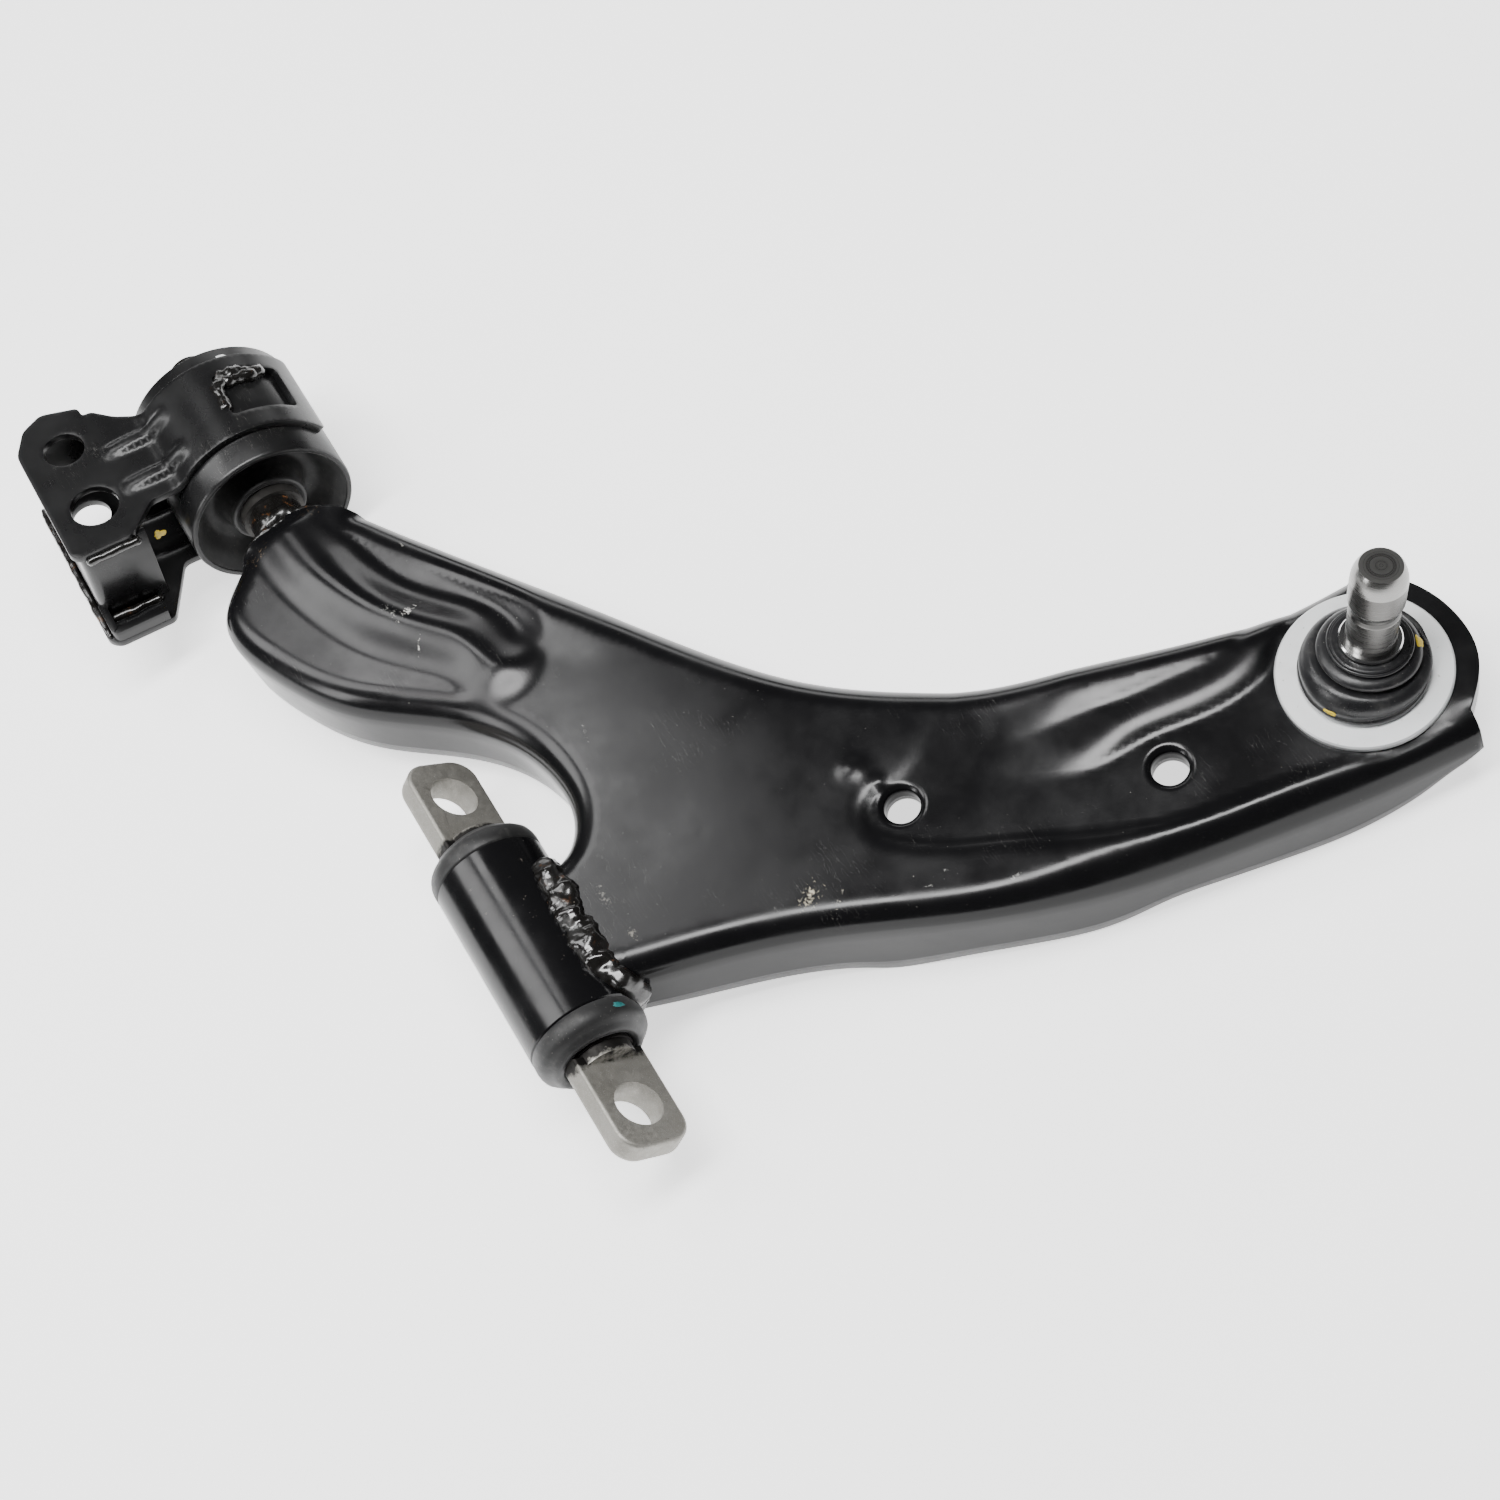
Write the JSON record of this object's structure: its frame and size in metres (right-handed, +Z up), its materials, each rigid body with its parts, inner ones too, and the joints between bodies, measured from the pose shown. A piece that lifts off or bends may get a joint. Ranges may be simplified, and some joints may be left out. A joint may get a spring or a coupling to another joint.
{
  "type": "automotive control arm",
  "caption": "Stamped front lower control arm, left side, with a bar-pin front bush, a rear bush in a bolted bracket and a pinch-bolt ball joint.",
  "frame": {"origin": "centre of the front bush, on the pivot axis", "axes": "+X forward along the pivot axis through both bushes, +Y outboard towards the ball joint, +Z up, the side the ball stud stands on"},
  "size_m": [0.4955, 0.4488, 0.1213],
  "materials": {
    "arm_black": "gloss black dip coat",
    "sleeve_black": "gloss black dip coat",
    "bracket_black": "satin black dip coat",
    "weld_black": "black coat over a weld bead",
    "weld_rusty": "black coat with rust specks over a weld bead",
    "pin_black": "black coat",
    "bush_rubber": "matt black rubber",
    "boot_rubber": "satin black rubber",
    "forged_bar": "matt grey shot-blasted forging",
    "inner_steel": "plain steel",
    "plated_steel": "bright zinc plate",
    "housing_steel": "light grey zinc plate",
    "race_plastic": "natural acetal",
    "stud_steel": "turned bright steel",
    "collar_steel": "bright turned ring",
    "clip_black": "black spring steel"
  },
  "bodies": {
    "arm": {"arm_stamping": "arm_black", "front_sleeve": "sleeve_black", "front_sleeve_weld": "weld_black", "front_bush_rubber": "bush_rubber", "rear_pin": "pin_black", "rear_pin_weld": "weld_rusty", "rear_bush_inner_sleeve": "inner_steel", "rear_bush_rubber": "bush_rubber", "rear_washer": "plated_steel", "rear_nut": "plated_steel", "ball_joint_housing": "housing_steel", "housing_cover": "housing_steel", "ball_race": "race_plastic", "boot_clip": "clip_black"},
    "front_bar_pin": {"bar_pin": "forged_bar"},
    "rear_bracket": {"rear_bush_can": "bracket_black", "bracket_upper": "bracket_black", "bracket_lower": "bracket_black", "bracket_spacer": "bracket_black", "strap_plug_weld": "weld_black", "bracket_edge_welds": "weld_black"},
    "boot_bellows": {"boot": "boot_rubber"},
    "boot_neck": {"boot_collar": "collar_steel"},
    "stud": {"ball_stud": "stud_steel"}
  },
  "joints": [
    {"name": "front_bush_twist", "type": "hinge", "parent": "arm", "child": "front_bar_pin", "pos_m": [0, 0, 0], "axis": [1, 0, 0], "range_deg": [-25, 25], "stiffness_Nm_per_rad": 60, "deforming": ["front_bush_rubber"]},
    {"name": "rear_bush_twist", "type": "hinge", "parent": "arm", "child": "rear_bracket", "pos_m": [-0.289, 0, 0], "axis": [1, 0, 0], "range_deg": [-25, 25], "stiffness_Nm_per_rad": 80, "deforming": ["rear_bush_rubber"]},
    {"name": "ball_swing_lean", "type": "hinge", "parent": "arm", "child": "boot_bellows", "pos_m": [0.098, 0.3175, 0.011], "axis": [0.9799, 0.1994, 0], "range_deg": [-10, 30], "deforming": ["boot"]},
    {"name": "ball_swing_cross", "type": "hinge", "parent": "boot_bellows", "child": "boot_neck", "pos_m": [0.098, 0.3175, 0.011], "axis": [-0.1963, 0.965, -0.1736], "range_deg": [-20, 20], "deforming": ["boot"]},
    {"name": "ball_spin", "type": "hinge", "parent": "boot_neck", "child": "stud", "pos_m": [0.098, 0.3175, 0.011], "axis": [-0.0346, 0.1702, 0.9848], "continuous": true}
  ]
}
